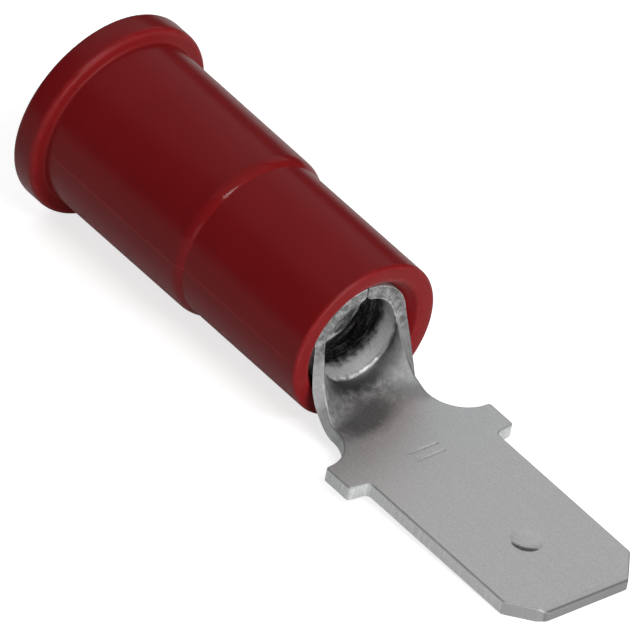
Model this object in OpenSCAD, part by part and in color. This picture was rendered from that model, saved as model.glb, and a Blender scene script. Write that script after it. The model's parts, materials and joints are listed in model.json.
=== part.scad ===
// Insulated male spade terminal: a red moulded sleeve on a stamped and rolled metal terminal.
// Millimetres. X runs from the wire entry toward the tip of the tab, Z is up.
// The origin is the middle of the wire entry, on the sleeve's rear face.

/* [Sleeve outside] */
// Length of the sleeve from the rear face to the front face
sleeve_length = 12.05; // [11:0.05:14]
// Wall of the narrow front section, round the metal barrel
nose_wall = 0.83; // [0.7:0.01:1]
// Height of the step from the front section up to the wide rear section
step_height = 0.13; // [0.08:0.01:0.2]
// Height that the rear section gains from the step back to the flange
body_rise = 0.04; // [0:0.01:0.1]
// Distance from the rear face to the foot of the rounded step
step_x = 7.15; // [6.8:0.05:7.6]
// Radius of the rounded edge at the step
step_round = 0.45; // [0.3:0.05:0.7]
// Rounding of the front face's outer edge
nose_round = 0.12; // [0.04:0.02:0.3]

/* [Flange] */
// Height of the flange above the rear section
flange_height = 0.46; // [0.35:0.01:0.7]
// Thickness of the flange along the sleeve
flange_t = 0.9; // [0.7:0.02:1.2]
// Rounding of the flange's rear edge
flange_rear_round = 0.16; // [0.05:0.01:0.2]
// Rounding of the flange's front edge
flange_front_round = 0.18; // [0.05:0.01:0.22]
// Radius of the hollow corner between the flange and the rear section
flange_root = 0.08; // [0.05:0.01:0.12]

/* [Sleeve inside] */
// Diameter of the bore that takes the wire's insulation
entry_d = 4.1; // [3.8:0.05:4.3]
// Depth of the chamfer round the wire entry
entry_chamfer = 0.3; // [0.1:0.05:0.4]
// Length of the funnel that leads the bare wire into the barrel
funnel_length = 1.1; // [0.8:0.1:1.4]
// Height by which the throat's lip stands inside the barrel's bore
throat_lip = 0.2; // [0.16:0.01:0.3]
// Length of the throat, which is the stop behind the barrel
throat_length = 0.2; // [0.1:0.05:0.3]
// Clearance round the barrel in its seat
barrel_clearance = 0.02; // [0.01:0.01:0.05]
// Width of the front face round the flared mouth
mouth_wall = 0.55; // [0.45:0.01:0.65]
// Depth of the flared mouth
mouth_depth = 1.2; // [0.8:0.1:1.6]

/* [Barrel] */
// Thickness of the metal sheet
sheet_t = 0.46; // [0.42:0.01:0.52]
// Diameter of the barrel's bore, which takes the bare wire
barrel_bore_d = 2.54; // [2.46:0.02:2.6]
// Length of the barrel
barrel_length = 5.15; // [4.8:0.05:5.4]
// Distance of the barrel's front rim behind the sleeve's front face
rim_setback = 0.25; // [0.1:0.05:0.4]
// Width of the butt seam along the top of the barrel
seam_gap = 0.05; // [0.03:0.01:0.08]
// Depth of the V where the seam's inner corners are rolled over
seam_v_depth = 0.24; // [0.15:0.01:0.3]
// Width of that V at the bore
seam_v_width = 0.36; // [0.2:0.02:0.5]
// Number of grip grooves round the inside of the barrel
groove_count = 4; // [2:1:5]
// Width of one grip groove, a V in section, at the bore
groove_width = 0.26; // [0.15:0.01:0.3]
// Distance from one grip groove to the next
groove_pitch = 0.5; // [0.4:0.05:0.6]
// Depth of one grip groove
groove_depth = 0.1; // [0.05:0.01:0.13]
// Distance from the front rim to the first grip groove
groove_start = 1.1; // [0.8:0.1:1.6]
// Chamfer inside the barrel's rear end
barrel_chamfer = 0.12; // [0.05:0.01:0.18]

/* [Neck] */
// Distance from the barrel's front rim to the flat of the tab
neck_length = 1.45; // [1.3:0.05:1.8]
// Width of the narrowest part of the neck
neck_w = 3.5; // [3.3:0.05:3.7]
// Width that the sheet keeps beside the neck on each side where it leaves the barrel
shoulder_rise = 0.9; // [0.7:0.05:1]
// Length over which those shoulders run out
shoulder_length = 1; // [0.8:0.05:1.2]
// Height from the bore's floor down to the tab's top face
tab_drop = 0.43; // [0.35:0.01:0.5]
// Distance from the rim to the edge where the bore's floor steps down
floor_edge = 0.22; // [0.1:0.01:0.3]
// Length of the step down to the tab's level
step_run = 0.5; // [0.4:0.05:0.6]

/* [Tab] */
// Width of the tab
tab_w = 4.75; // [4.5:0.05:5]
// Distance from the sleeve's front face to the tip of the tab
tab_reach = 10.5; // [9.5:0.1:12]
// Distance by which a stop ear stands out beyond the tab's side
ear_reach = 0.695; // [0.6:0.005:0.9]
// Length of an ear at its outer edge
ear_length = 1.08; // [0.8:0.02:1.3]
// Distance by which an ear's front edge runs forward toward the tab
ear_slope = 0.08; // [0.04:0.01:0.15]
// Radius of the hollow curve from the neck to an ear
ear_root = 1.2; // [0.9:0.05:1.2]
// Rounding of an ear's outer corners
ear_round = 0.1; // [0.05:0.01:0.15]
// Radius of the hollow corner between an ear and the tab
ear_crotch = 0.14; // [0.08:0.01:0.2]
// Length of the corner cut off at each side of the tip
tip_cut_length = 0.97; // [0.7:0.01:1.2]
// Width of that corner
tip_cut_width = 0.88; // [0.6:0.02:1.1]
// Length of the bevel across the tip, on the top and on the underside
tip_bevel_length = 0.24; // [0.1:0.02:0.4]
// Height of that bevel
tip_bevel_height = 0.09; // [0.05:0.01:0.15]
// Diameter of the latch dimple
dimple_d = 1.0; // [0.8:0.05:1.4]
// Depth of the latch dimple
dimple_depth = 0.17; // [0.1:0.01:0.2]
// Distance from the middle of the latch dimple to the tip
dimple_to_tip = 2.78; // [2.5:0.02:3.2]

/* [Hidden] */
$fn = 96;
// How far a cutting shape runs past the face that it cuts
past = 1;
// How far the neck's faces lie inside those of the barrel and of the tab, which they run into
weld_inset = 0.02;
// Length of the neck's sheet that lies inside the barrel's wall, and inside the tab
weld_length = 0.4;
// Steps in a small round of an outline
round_steps = 8;
// Steps in the large hollow curve beside the neck
root_steps = 16;
// Stations along the neck and strips from its middle to each edge
neck_stations = 20;
neck_strips = 12;
// Power that crowds the stations toward the rim, where the form changes fastest
crowding = 1.4;
// Least share of the roll that is counted as a bend, below which the sheet is flat
least_turn = 0.001;

// The barrel, seated between the sleeve's throat and its front face
barrel_r = barrel_bore_d / 2 + sheet_t;
rim_x = sleeve_length - rim_setback;
barrel_x = rim_x - barrel_length;
middle_r = barrel_bore_d / 2 + sheet_t / 2;

// The sleeve's bore, from the throat backward and forward
seat_r = barrel_r + barrel_clearance;
throat_r = barrel_bore_d / 2 - throat_lip;
throat_x = barrel_x - throat_length;
funnel_x = throat_x - funnel_length;

// The sleeve's outer radii, from its seat round the barrel outward
nose_r = seat_r + nose_wall;
mouth_r = nose_r - mouth_wall;
body_front_r = nose_r + step_height;
body_rear_r = body_front_r + body_rise;
flange_r = body_rear_r + flange_height;

// The arc that rounds the step: the angle it sweeps and where it starts
step_sweep = acos((step_round - step_height) / step_round);
step_start = step_x - step_round * sin(step_sweep);

// The tab's levels, the hollow curve beside the neck and the places along the tab
tab_top = -barrel_bore_d / 2 - tab_drop;
tab_bottom = tab_top - sheet_t;
ear_y = tab_w / 2 + ear_reach;
root_r = min(ear_root, ear_y - neck_w / 2 - ear_round);
flat_x = rim_x + neck_length;
ear_x = flat_x + root_r;
tip_x = sleeve_length + tab_reach;
dimple_x = tip_x - dimple_to_tip;
dimple_ball_r = (pow(dimple_d / 2, 2) + pow(dimple_depth, 2)) / (2 * dimple_depth);

// Points on an arc about c from angle a to angle b
function arc(c, r, a, b, steps) =
    [for (i = [0 : steps]) c + r * [cos(a + (b - a) * i / steps), sin(a + (b - a) * i / steps)]];

// A value that eases from 0 to 1, flat at both ends
function ease(s) = s <= 0 ? 0 : s >= 1 ? 1 : s * s * (3 - 2 * s);

// A value that sets off steeply at 0 and settles level at 1
function settle(s) = s <= 0 ? 0 : s >= 1 ? 1 : sin(90 * s);

// An arc of the sleeve's outside about the point at distance x and radius r
function rim_arc(x, r, round, from, to) = arc([x, r], round, from, to, round_steps);

// Half section of the sleeve's outside, as distance along the sleeve and radius
function outside() = concat(
    rim_arc(flange_rear_round, flange_r - flange_rear_round, flange_rear_round, 180, 90),
    rim_arc(flange_t - flange_front_round, flange_r - flange_front_round, flange_front_round, 90, 0),
    rim_arc(flange_t + flange_root, body_rear_r + flange_root, flange_root, 180, 270),
    rim_arc(step_start, body_front_r - step_round, step_round, 90, 90 - step_sweep),
    rim_arc(sleeve_length - nose_round, nose_r - nose_round, nose_round, 90, 0));

// The sleeve: one moulding with a flange, a rounded step and a bore in stages
module insulator() {
    color([0.62, 0.11, 0.13])
    difference() {
        turned(concat([[0, 0]], outside(), [[sleeve_length, 0]]));
        along(-past, funnel_x + past, entry_d / 2, entry_d / 2);
        along(-entry_chamfer, 2 * entry_chamfer, entry_d / 2 + 2 * entry_chamfer, entry_d / 2);
        along(funnel_x, funnel_length, entry_d / 2, throat_r);
        along(throat_x - past, throat_length + 2 * past, throat_r, throat_r);
        along(barrel_x, sleeve_length - barrel_x + past, seat_r, seat_r);
        along(sleeve_length - mouth_depth, mouth_depth, seat_r, mouth_r);
    }
}

// A solid turned about X from a half section
module turned(section) {
    rotate([90, 0, 90])
    rotate_extrude()
    polygon([for (p = section) [p[1], p[0]]]);
}

// A cylinder or cone along X that starts at x
module along(x, length, start_r, end_r) {
    translate([x, 0, 0])
    rotate([0, 90, 0])
    cylinder(h = length, r1 = start_r, r2 = end_r);
}

// The terminal: one sheet, rolled into a barrel, let down through a neck and left flat as a tab
module terminal() {
    color([0.72, 0.72, 0.73]) {
        union() {
            barrel();
            neck();
            tab();
        }
    }
}

// The rolled barrel with its butt seam on top
module barrel() {
    difference() {
        along(barrel_x, barrel_length, barrel_r, barrel_r);
        along(barrel_x - past, barrel_length + 2 * past, barrel_bore_d / 2, barrel_bore_d / 2);
        along(barrel_x - barrel_chamfer, 2 * barrel_chamfer,
            barrel_bore_d / 2 + 2 * barrel_chamfer, barrel_bore_d / 2);
        for (i = [0 : groove_count - 1])
            groove(rim_x - groove_start - i * groove_pitch);
        seam();
    }
}

// A ring of diamond section that cuts one V groove round the bore, with its front edge at x
module groove(x) {
    bore_r = barrel_bore_d / 2;
    turned([
        [x, bore_r],
        [x - groove_width / 2, bore_r + groove_depth],
        [x - groove_width, bore_r],
        [x - groove_width / 2, bore_r - groove_depth]]);
}

// The gap where the rolled edges meet, opening into a V at the bore
module seam() {
    bore_top = barrel_bore_d / 2;
    rotate([90, 0, 90])
    translate([0, 0, barrel_x - past])
    linear_extrude(height = barrel_length + 2 * past)
    polygon([
        [-seam_v_width / 2, bore_top - sheet_t / 2],
        [seam_v_width / 2, bore_top - sheet_t / 2],
        [seam_v_width / 2, bore_top],
        [seam_gap / 2, bore_top + seam_v_depth],
        [seam_gap / 2, barrel_r + past],
        [-seam_gap / 2, barrel_r + past],
        [-seam_gap / 2, bore_top + seam_v_depth],
        [-seam_v_width / 2, bore_top]]);
}

// Distance from the rim to station i: the first lies in the barrel's wall and the last in the tab
function station(i) =
    i == 0 ? -weld_length :
    i == neck_stations ? neck_length + weld_length :
    neck_length * pow((i - 0.5) / neck_stations, crowding);

// Half width of the flattened sheet at distance a in front of the rim
function half_width(a) =
    neck_w / 2 - weld_inset + shoulder_rise * pow(1 - min(1, max(0, a) / shoulder_length), 2);

// How far the sheet is still rolled at distance a: 1 as in the barrel, 0 flat
function rolled(a) = 1 - ease(a / neck_length);

// A point of the neck's sheet: a is the distance from the rim, v the place across the flattened
// sheet, side 1 its inner and upper face and -1 its outer and lower face
function sheet_point(a, v, side) =
    let (turn = rolled(a))
    let (shift = side * (sheet_t / 2 - weld_inset))
    let (down = tab_drop * settle((a - (side > 0 ? floor_edge : 0)) / step_run))
    let (angle = v / middle_r * turn * 180 / PI)
    let (radius = middle_r / max(turn, least_turn))
    let (y = turn > 0 ? (radius - shift) * sin(angle) : v)
    let (lift = turn > 0 ? (radius - shift) * (1 - cos(angle)) : 0)
    [rim_x + a, y, -middle_r - down + shift + lift];

// The neck: the same sheet unrolling from the barrel while it steps down to the tab
module neck() {
    across = 2 * neck_strips + 1;
    ring = 2 * across;
    points = [for (i = [0 : neck_stations], side = [1, -1], j = [-neck_strips : neck_strips])
        let (a = station(i))
        sheet_point(a, half_width(a) * j / neck_strips, side)];
    // Index of a point: station i, place k round the section from one edge over and back under
    function at(i, k) = i * ring + (k < across ? k : ring + across - 1 - k);
    sides = [for (i = [0 : neck_stations - 1], k = [0 : ring - 1])
        let (n = (k + 1) % ring)
        each [[at(i, k), at(i + 1, n), at(i + 1, k)], [at(i, k), at(i, n), at(i + 1, n)]]];
    // The closing faces at both ends, as strips from the upper face to the lower
    ends = [for (j = [0 : across - 2])
        let (u = ring - 1 - j)
        each [
            [at(0, j), at(0, u - 1), at(0, j + 1)],
            [at(0, j), at(0, u), at(0, u - 1)],
            [at(neck_stations, j + 1), at(neck_stations, u), at(neck_stations, j)],
            [at(neck_stations, j + 1), at(neck_stations, u - 1), at(neck_stations, u)]]];
    polyhedron(points, concat(sides, ends), convexity = 4);
}

// Half outline of the flat sheet, from the neck round the ear to the tip
function tab_half() =
    let (side = tab_w / 2)
    let (front = ear_x + ear_length)
    let (crotch_x = front + ear_slope + ear_crotch)
    concat(
        arc([flat_x, neck_w / 2 + root_r], root_r, -90, 0, root_steps),
        arc([ear_x + ear_round, ear_y - ear_round], ear_round, 180, 90, round_steps),
        arc([front - ear_round, ear_y - ear_round], ear_round, 90, 0, round_steps),
        arc([crotch_x, side + ear_crotch], ear_crotch, 180, 270, round_steps),
        [[tip_x - tip_cut_length, side], [tip_x, side - tip_cut_width]]);

// The flat tab with its ears, bevelled tip and latch dimple
module tab() {
    half = tab_half();
    last = len(half) - 1;
    other = [for (i = [last : -1 : 0]) [half[i][0], -half[i][1]]];
    difference() {
        translate([0, 0, tab_bottom])
        linear_extrude(height = sheet_t)
        polygon(concat(half, other));
        tip_bevel(tab_top, 1);
        tip_bevel(tab_bottom, -1);
        translate([dimple_x, 0, tab_top - dimple_depth + dimple_ball_r])
        sphere(r = dimple_ball_r);
    }
}

// The wedge that bevels the tip on one face: way is 1 on top and -1 below
module tip_bevel(level, way) {
    slope = tip_bevel_height / tip_bevel_length;
    translate([0, tab_w, 0])
    rotate([90, 0, 0])
    linear_extrude(height = 2 * tab_w)
    polygon([
        [tip_x - tip_bevel_length, level],
        [tip_x + past, level - way * slope * (tip_bevel_length + past)],
        [tip_x + past, level + way * past],
        [tip_x - tip_bevel_length, level + way * past]]);
}

insulator();
terminal();
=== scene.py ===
# %% [markdown]
# # An insulated male spade terminal
#
# The object is a crimp connector for one wire. Its metal part is a single sheet, blanked flat in a
# press, rolled into a barrel at the rear and left flat as a tab at the front. A red moulded sleeve is
# pushed over the barrel. This lesson makes both pieces the way they are made: the sleeve is a section
# that is spun round its axis, and the terminal is cut flat first and bent last.

# %% Load the frame
import json
import math

import bmesh
import bpy
from mathutils import Matrix, Vector


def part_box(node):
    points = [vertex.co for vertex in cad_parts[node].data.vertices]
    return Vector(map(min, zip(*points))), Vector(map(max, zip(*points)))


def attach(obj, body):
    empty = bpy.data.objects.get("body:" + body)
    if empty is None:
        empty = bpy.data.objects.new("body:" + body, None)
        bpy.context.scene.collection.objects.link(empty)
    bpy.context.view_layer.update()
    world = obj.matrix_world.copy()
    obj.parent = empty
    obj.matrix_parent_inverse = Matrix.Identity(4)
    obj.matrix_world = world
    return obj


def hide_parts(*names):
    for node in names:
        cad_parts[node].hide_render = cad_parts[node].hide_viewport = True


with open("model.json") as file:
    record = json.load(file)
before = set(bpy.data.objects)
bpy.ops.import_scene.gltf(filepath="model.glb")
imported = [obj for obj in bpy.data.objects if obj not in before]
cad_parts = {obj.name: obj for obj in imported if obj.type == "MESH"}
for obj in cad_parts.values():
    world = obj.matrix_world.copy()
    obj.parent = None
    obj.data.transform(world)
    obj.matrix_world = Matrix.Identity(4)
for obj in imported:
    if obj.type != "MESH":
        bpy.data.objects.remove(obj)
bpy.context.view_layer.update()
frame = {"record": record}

MM = 0.001

# %% [markdown]
# ## Sizes that the frame gives
#
# The construction is already fixed, so the looks only dress it. The outer sizes come from the boxes
# of the two CAD nodes, and the bores and the tab's level from the mounts in the record. Taking them
# from there keeps every new piece in its seat.

# %% Read the sizes from the frame
def mount(name):
    """The mount of that name in the record."""
    return next(entry for entry in frame["record"]["mounts"] if entry["name"] == name)


sleeve_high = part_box("insulator")[1]
sheet_low, sheet_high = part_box("terminal")
sleeve_length = sleeve_high.x
flange_r = sleeve_high.y
entry_r = mount("wire_entry")["dims"]["r_mm"] * MM
bore_r = mount("wire_barrel")["dims"]["r_mm"] * MM
tab_top = mount("tab_face")["pos_m"][2]
barrel_r = sheet_high.z
barrel_x = sheet_low.x
tip_x = sheet_high.x
ear_y = sheet_high.y
sheet_t = barrel_r - bore_r
middle_r = bore_r + sheet_t / 2
print(f"sheet {sheet_t / MM:.2f} mm thick, barrel bore {2 * bore_r / MM:.2f} mm")

# %% [markdown]
# ## The camera
#
# The photograph is a product shot with a long lens, looking down on the tab from its tip. The part's
# upright direction leans to the right in it, so the camera is rolled. Azimuth and elevation say from
# which side it looks, and the lens follows from the width of the view at the object.

# %% Place the camera
VIEW_AZIMUTH = math.radians(43.07)
VIEW_ELEVATION = math.radians(37.75)
VIEW_ROLL = math.radians(11.87)
VIEW_DISTANCE = 0.8
VIEW_WIDTH = 18.176 * MM
AIM = Vector((10.92, -0.785, 0.255)) * MM
SENSOR = 36.0


def from_angles(azimuth, elevation):
    """The direction out of the object toward a point at those angles; azimuth 0 is the -Y side."""
    return Vector((
        math.sin(azimuth) * math.cos(elevation),
        -math.cos(azimuth) * math.cos(elevation),
        math.sin(elevation)))


def add_object(name, data):
    """An object with that data, linked to the scene."""
    added = bpy.data.objects.new(name, data)
    bpy.context.scene.collection.objects.link(added)
    return added


back = from_angles(VIEW_AZIMUTH, VIEW_ELEVATION)
level_right = Vector((math.cos(VIEW_AZIMUTH), math.sin(VIEW_AZIMUTH), 0))
level_up = back.cross(level_right)
right = level_right * math.cos(VIEW_ROLL) + level_up * math.sin(VIEW_ROLL)
up = back.cross(right)

camera_data = bpy.data.cameras.new("camera")
camera_data.sensor_width = SENSOR
camera_data.lens = SENSOR * VIEW_DISTANCE / VIEW_WIDTH
camera = add_object("camera", camera_data)
turn = Matrix((right, up, back)).transposed().to_4x4()
camera.matrix_world = Matrix.Translation(AIM + back * VIEW_DISTANCE) @ turn
bpy.context.scene.camera = camera
print(f"lens {camera_data.lens:.0f} mm")

# %% [markdown]
# ## The sleeve
#
# The real sleeve is one injection moulding, and every wall of it is round. A lathe shape is quickest
# to make by spinning a section: a few points with sharp corners are joined into a closed loop, and
# one full spin turns it into a tube with no poles and no seam. The corners are rounded afterwards with
# a bevel on each ring of edges, which is how a designer adds fillets. The step is the one round that
# isn't a plain fillet, so its arc is part of the section.

# %% Draw the sleeve's section
BODY_REAR_R = 2.75 * MM
BODY_FRONT_R = 2.73 * MM
NOSE_R = 2.58 * MM
FLANGE_T = 0.9 * MM
STEP_X = 7.01 * MM
STEP_ROUND = 0.62 * MM
STEP_STEPS = 8
MOUTH_R = 2.03 * MM
MOUTH_DEPTH = 0.4 * MM
BARREL_CLEARANCE = 0.02 * MM
SEAT_R = barrel_r + BARREL_CLEARANCE
THROAT_LIP = 0.2 * MM
THROAT_R = bore_r - THROAT_LIP
THROAT_LENGTH = 0.2 * MM
FUNNEL_LENGTH = 1.1 * MM
ENTRY_CHAMFER = 0.3 * MM


def arc(centre, radius, start, end, steps):
    """Points on an arc, with the angles in degrees."""
    angles = [math.radians(start + (end - start) * i / steps) for i in range(steps + 1)]
    return [(centre[0] + radius * math.cos(a), centre[1] + radius * math.sin(a)) for a in angles]


step_sweep = math.degrees(math.acos(1 - (BODY_FRONT_R - NOSE_R) / STEP_ROUND))
step_start = STEP_X - STEP_ROUND * math.sin(math.radians(step_sweep))
throat_x = barrel_x - THROAT_LENGTH
step_arc = arc((step_start, BODY_FRONT_R - STEP_ROUND), STEP_ROUND, 90, 90 - step_sweep, STEP_STEPS)
sleeve_section = [
    (0, flange_r),
    (FLANGE_T, flange_r),
    (FLANGE_T, BODY_REAR_R),
    *step_arc,
    (sleeve_length, NOSE_R),
    (sleeve_length, MOUTH_R),
    (sleeve_length - MOUTH_DEPTH, SEAT_R),
    (barrel_x, SEAT_R),
    (barrel_x, THROAT_R),
    (throat_x, THROAT_R),
    (throat_x - FUNNEL_LENGTH, entry_r),
    (ENTRY_CHAMFER, entry_r),
    (0, entry_r + ENTRY_CHAMFER)]
print(f"the sleeve's section has {len(sleeve_section)} points")

# %% [markdown]
# The section becomes a tube by one full turn. With use_merge the last copy joins the first, and doubles
# are merged before the normals are recalculated, so that the tube is closed and faces outwards. Each
# corner ring is then found by its place and radius, and rounded. The new faces note whether their
# corner sticks out, because only such a corner gets rubbed in use.

# %% Write the helpers that round edges and finish a piece
NEAR = 0.002 * MM
SHARP = math.radians(32)


def finish_piece(bm, name):
    """A smooth-shaded object from a bmesh, with the edges over SHARP kept crisp."""
    for face in bm.faces:
        face.smooth = True
    for edge in bm.edges:
        if len(edge.link_faces) == 2 and edge.calc_face_angle() > SHARP:
            edge.smooth = False
    mesh = bpy.data.meshes.new(name)
    bm.to_mesh(mesh)
    bm.free()
    print(f"{name}: {len(mesh.vertices)} vertices, {len(mesh.polygons)} faces")
    return add_object(name, mesh)


def ring_edges(bm, x, r):
    """The ring of edges at distance x along the sleeve and radius r."""
    def on_ring(vert):
        return abs(vert.co.x - x) < NEAR and abs(vert.co.yz.length - r) < NEAR
    return [edge for edge in bm.edges if on_ring(edge.verts[0]) and on_ring(edge.verts[1])]


def round_off(bm, parts, radius, segments, affect="EDGES", **settings):
    """Rounds edges, or the corners of a flat face, and gives the new faces."""
    return bmesh.ops.bevel(
        bm, geom=parts, offset=radius, offset_type="OFFSET", affect=affect, segments=segments,
        profile=0.5, material=-1, clamp_overlap=False, **settings)["faces"]


print(f"edges over {math.degrees(SHARP):.0f} degrees stay crisp")

# %% Spin the section and round its corners
SPIN_STEPS = 192
RUBBED, SHELTERED = 1.0, 0.0

sleeve = bmesh.new()
section_verts = [sleeve.verts.new((x, 0, r)) for x, r in sleeve_section]
section_edges = [
    sleeve.edges.new((vert, section_verts[(i + 1) % len(section_verts)]))
    for i, vert in enumerate(section_verts)]
bmesh.ops.spin(
    sleeve, geom=section_verts + section_edges, cent=(0, 0, 0), axis=(1, 0, 0),
    angle=2 * math.pi, steps=SPIN_STEPS, use_merge=True)
bmesh.ops.remove_doubles(sleeve, verts=sleeve.verts, dist=NEAR / 10)
bmesh.ops.recalc_face_normals(sleeve, faces=sleeve.faces)

# Each ring's place and radius, then its round in mm, the round's segments, and its wear.
sleeve_rounds = [
    (0, flange_r, 0.16, 6, RUBBED),
    (FLANGE_T, flange_r, 0.18, 6, RUBBED),
    (FLANGE_T, BODY_REAR_R, 0.08, 4, SHELTERED),
    (STEP_X, NOSE_R, 0.03, 2, SHELTERED),
    (sleeve_length, NOSE_R, 0.12, 5, RUBBED),
    (sleeve_length, MOUTH_R, 0.12, 5, RUBBED),
    (throat_x, THROAT_R, 0.06, 3, RUBBED),
    (0, entry_r + ENTRY_CHAMFER, 0.05, 3, RUBBED)]
worn_layer = sleeve.faces.layers.float.new("worn")
for x, r, radius, segments, wear in sleeve_rounds:
    for face in round_off(sleeve, ring_edges(sleeve, x, r), radius * MM, segments):
        face[worn_layer] = wear
sleeve_moulding = finish_piece(sleeve, "sleeve_moulding")

# %% [markdown]
# ## The flat blank
#
# The press first cuts the terminal out of flat sheet. The rear of the blank is the strip that becomes
# the barrel, with a wing on each side, and it narrows through two shoulders to the neck. A grid makes
# that strip: each of its rows is set to its place along the part and pulled to the strip's width
# there. The wings are drawn out from the grid's sides by extruding them column by column, so that
# every line across the barrel stays straight and the roll comes out round.

# %% Place the rows of the strip
NECK_LENGTH = 1.45 * MM
NECK_HALF = 1.75 * MM
SHOULDER_RISE = 0.9 * MM
SHOULDER_LENGTH = 1.0 * MM
RIM_SETBACK = 0.25 * MM
GROOVE_COUNT = 4
GROOVE_WIDTH = 0.26 * MM
GROOVE_PITCH = 0.5 * MM
GROOVE_START = 1.1 * MM
BARREL_REAR_ROWS = 6
BARREL_FRONT_ROWS = 11
NECK_ROWS = 48
NECK_CROWDING = 1.45

rim_x = sleeve_length - RIM_SETBACK
flat_x = rim_x + NECK_LENGTH
grooves = [rim_x - GROOVE_START - i * GROOVE_PITCH for i in range(GROOVE_COUNT)]


def strip_half_width(x):
    """Half width of the strip between the wings, at distance x along the part."""
    run = min(1.0, max(0.0, (x - rim_x) / SHOULDER_LENGTH))
    return NECK_HALF + SHOULDER_RISE * (1 - run) ** 2


def spread(start, end, steps):
    """Evenly spaced places from start up to, but without, end."""
    return [start + (end - start) * i / steps for i in range(steps)]


barrel_rows = spread(barrel_x, grooves[-1] - GROOVE_WIDTH, BARREL_REAR_ROWS)
for front in reversed(grooves):
    barrel_rows += [front - GROOVE_WIDTH, front - GROOVE_WIDTH / 2, front]
barrel_rows += spread(grooves[0], rim_x, BARREL_FRONT_ROWS)[1:]
neck_rows = [rim_x + NECK_LENGTH * (i / NECK_ROWS) ** NECK_CROWDING for i in range(NECK_ROWS + 1)]
rows = barrel_rows + neck_rows
print(len(barrel_rows), "rows in the barrel and", len(neck_rows), "in the neck")

# %% Make the strip and draw out its wings
SEAM_GAP = 0.05 * MM
STRIP_COLUMNS = 26
WING_COLUMNS = 20
SEAM_COLUMN = 0.26 * MM

blank = bmesh.new()
bmesh.ops.create_grid(blank, x_segments=len(rows) - 1, y_segments=2 * STRIP_COLUMNS, size=0.5)
for vert in blank.verts:
    x = rows[round((vert.co.x + 0.5) * (len(rows) - 1))]
    share = round(vert.co.y * 2 * STRIP_COLUMNS) / STRIP_COLUMNS
    vert.co = (x, share * strip_half_width(x), 0)

wing_edge = math.pi * middle_r - SEAM_GAP / 2
wing_step = (wing_edge - SEAM_COLUMN - strip_half_width(rim_x)) / WING_COLUMNS
for side in (1, -1):
    outer = strip_half_width(rim_x)
    for step in [wing_step] * WING_COLUMNS + [SEAM_COLUMN]:
        edges = [
            edge for edge in blank.edges
            if edge.is_boundary and all(
                abs(vert.co.y - side * outer) < NEAR and vert.co.x < rim_x + NEAR for vert in edge.verts)]
        drawn = bmesh.ops.extrude_edge_only(blank, edges=edges)["geom"]
        drawn_verts = [part for part in drawn if isinstance(part, bmesh.types.BMVert)]
        bmesh.ops.translate(blank, verts=drawn_verts, vec=(0, side * step, 0))
        outer += step
print(f"strip: {len(blank.faces)} faces, wings out to {outer / MM:.2f} mm")

# %% [markdown]
# ## The tab's outline
#
# In front of the neck the sheet stays flat, so it needs no rows at all: one large face is enough. Its
# outline is drawn with sharp corners, and each corner is then rounded by a vertex bevel. The large
# hollow beside the neck is made in the same way as the tiny round at an ear's corner, only with a
# larger radius.

# %% Add the tab to the strip
TAB_HALF = 2.375 * MM
EAR_LENGTH = 1.08 * MM
EAR_SLOPE = 0.08 * MM
EAR_ROOT = 1.2 * MM
EAR_ROUND = 0.1 * MM
EAR_CROTCH = 0.14 * MM
TIP_CUT_LENGTH = 0.97 * MM
TIP_CUT_WIDTH = 0.88 * MM
TIP_ROUND = 0.06 * MM

ear_x = flat_x + EAR_ROOT
ear_front = ear_x + EAR_LENGTH

# Each corner's place, its round, and the round's segments.
half_corners = [
    (ear_x, NECK_HALF, EAR_ROOT - NEAR, 16),
    (ear_x, ear_y, EAR_ROUND, 5),
    (ear_front, ear_y, EAR_ROUND, 5),
    (ear_front + EAR_SLOPE, TAB_HALF, EAR_CROTCH, 5),
    (tip_x - TIP_CUT_LENGTH, TAB_HALF, TIP_ROUND, 3),
    (tip_x, TAB_HALF - TIP_CUT_WIDTH, TIP_ROUND, 3)]
last_row = sorted(
    (vert for vert in blank.verts if abs(vert.co.x - flat_x) < NEAR), key=lambda vert: vert.co.y)
left = [blank.verts.new((x, y, 0)) for x, y, _, _ in half_corners]
right_side = [blank.verts.new((x, -y, 0)) for x, y, _, _ in reversed(half_corners)]
blank.faces.new(last_row + left + right_side)
corner_rounds = {}
for vert, (_, _, radius, segments) in zip(left + right_side[::-1], half_corners * 2):
    corner_rounds.setdefault((radius, segments), []).append(vert)
for (radius, segments), verts in corner_rounds.items():
    round_off(blank, verts, radius, segments, affect="VERTICES")
bmesh.ops.recalc_face_normals(blank, faces=blank.faces)
if sum(face.normal.z for face in blank.faces) < 0:
    bmesh.ops.reverse_faces(blank, faces=blank.faces)
print(f"blank: {len(blank.faces)} faces")

# %% [markdown]
# ## Thickness and sheared edges
#
# The blank gets its thickness by extruding all of it at once. A press leaves the edge on the punch
# side rolled over, and the edge on the other side almost sharp, so the two sides are bevelled with
# different sizes. The inner corners at the seam are rolled over much more: that is what shows as a
# small V in the barrel's mouth.

# %% Give the blank its thickness and bevel its edges
ROLL_OVER = 0.045 * MM
BURR_ROUND = 0.018 * MM
SEAM_ROUND = 0.21 * MM
LEVEL = 0.5

raised = bmesh.ops.extrude_face_region(blank, geom=blank.faces[:])["geom"]
bmesh.ops.translate(
    blank, verts=[part for part in raised if isinstance(part, bmesh.types.BMVert)], vec=(0, 0, sheet_t))
bmesh.ops.translate(blank, verts=blank.verts, vec=(0, 0, -sheet_t / 2))
bmesh.ops.recalc_face_normals(blank, faces=blank.faces)


def rim_of_side(side):
    """The edges between one face of the sheet, 1 for the upper and -1 for the lower, and its cut edge."""
    found = []
    for edge in blank.edges:
        lean = sorted(face.normal.z * side for face in edge.link_faces)
        if len(lean) == 2 and lean[0] < LEVEL < lean[1]:
            found.append(edge)
    return found


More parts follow.
